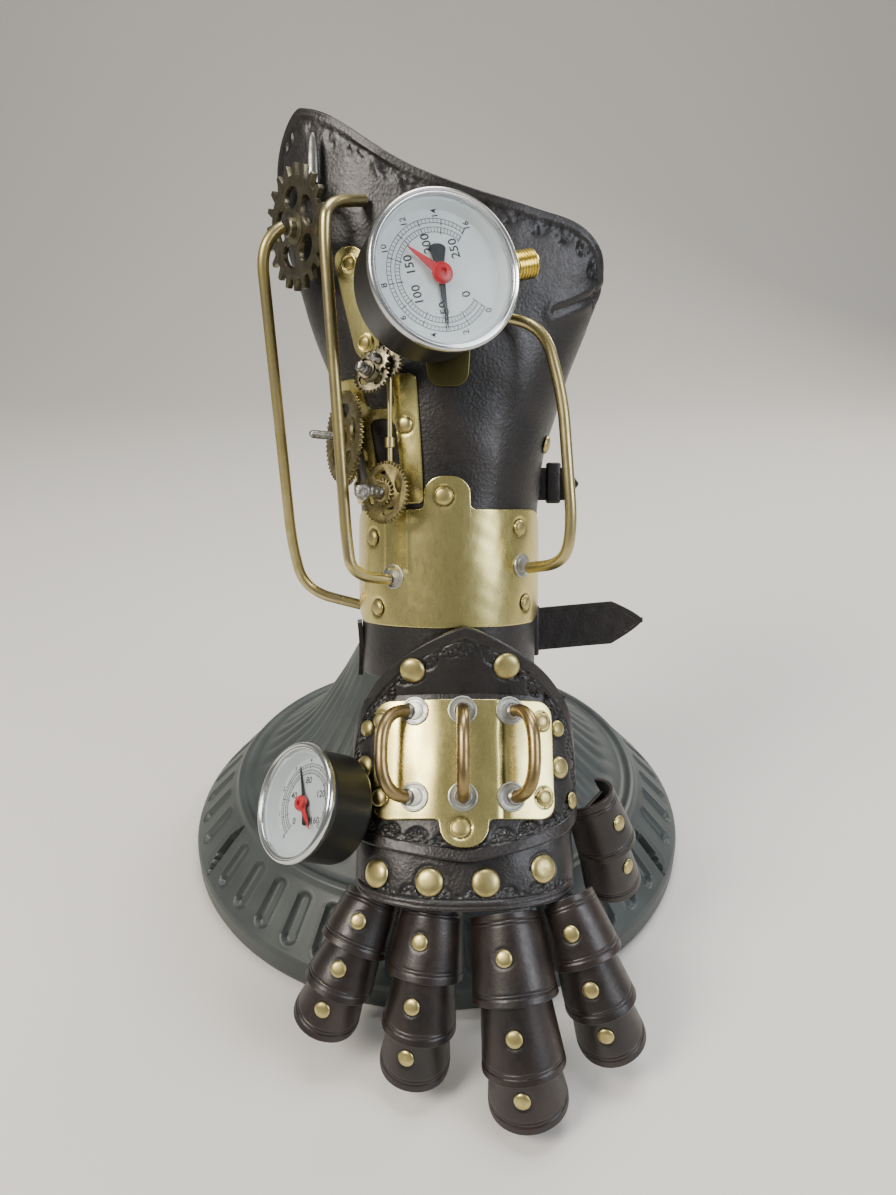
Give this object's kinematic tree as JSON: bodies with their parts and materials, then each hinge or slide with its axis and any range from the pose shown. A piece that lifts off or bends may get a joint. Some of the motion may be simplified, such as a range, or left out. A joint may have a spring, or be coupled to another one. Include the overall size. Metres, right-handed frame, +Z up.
{
  "type": "armoured gauntlet on display stand",
  "caption": "Leather and brass armoured gauntlet for a right hand, with pressure gauges, bent tubes and gear wheels, standing fingers down on a plain flared stand.",
  "frame": {"origin": "the stand's axis at the floor, at the middle of its flat underside", "axes": "+Z up, -Y to the front where the fingers reach forward, +X to the thumb side"},
  "size_m": [0.29, 0.3585, 0.3931],
  "materials": {
    "stand_plastic": "satin moulded",
    "armour_leather": "dyed, tooled and oiled",
    "plate_leather": "dyed and polished",
    "sheet_brass": "rubbed to a soft shine",
    "tube_brass": "aged",
    "handle_copper": "aged copper bronze",
    "gear_bronze": "aged and dull",
    "bright_steel": "polished",
    "gauge_black": "satin",
    "dial_white": "matt",
    "pointer_red": "gloss",
    "gauge_glass": "clear"
  },
  "bodies": {
    "root": {"stand": "stand_plastic", "forearm_shell": "armour_leather", "wrist_strap": "armour_leather", "upper_strap": "armour_leather", "wrist_flap": "armour_leather", "hand_guard": "armour_leather", "knuckle_band": "armour_leather", "little_strip": "armour_leather", "ring_strip": "armour_leather", "middle_strip": "armour_leather", "index_strip": "armour_leather", "thumb_strip": "armour_leather", "little_plate_1": "plate_leather", "little_plate_2": "plate_leather", "little_plate_3": "plate_leather", "ring_plate_1": "plate_leather", "ring_plate_2": "plate_leather", "ring_plate_3": "plate_leather", "middle_plate_1": "plate_leather", "middle_plate_2": "plate_leather", "middle_plate_3": "plate_leather", "index_plate_1": "plate_leather", "index_plate_2": "plate_leather", "index_plate_3": "plate_leather", "thumb_plate_1": "plate_leather", "thumb_plate_2": "plate_leather", "wrist_plate": "sheet_brass", "frame_plate": "sheet_brass", "upper_bracket": "sheet_brass", "gauge_mount": "sheet_brass", "wrist_buckle": "sheet_brass", "upper_buckle": "sheet_brass", "hand_plate": "sheet_brass", "upper_gauge_fitting": "sheet_brass", "tube_outer": "tube_brass", "tube_inner": "tube_brass", "tube_right": "tube_brass", "handle_left": "handle_copper", "handle_middle": "handle_copper", "handle_right": "handle_copper", "big_sprocket": "gear_bronze", "cluster_gear": "gear_bronze", "clock_wheel": "gear_bronze", "rear_wheel": "gear_bronze", "lower_wheel": "gear_bronze", "frame_rod": "gear_bronze", "cuff_spike": "bright_steel", "upper_gauge_bezel": "bright_steel", "lower_gauge_bezel": "bright_steel", "upper_gauge_case": "gauge_black", "lower_gauge_case": "gauge_black", "upper_gauge_pointer": "gauge_black", "lower_gauge_pointer": "gauge_black", "upper_gauge_dial": "dial_white", "lower_gauge_dial": "dial_white", "upper_gauge_set_pointer": "pointer_red", "lower_gauge_set_pointer": "pointer_red", "upper_gauge_lens": "gauge_glass", "lower_gauge_lens": "gauge_glass"}
  },
  "joints": []
}
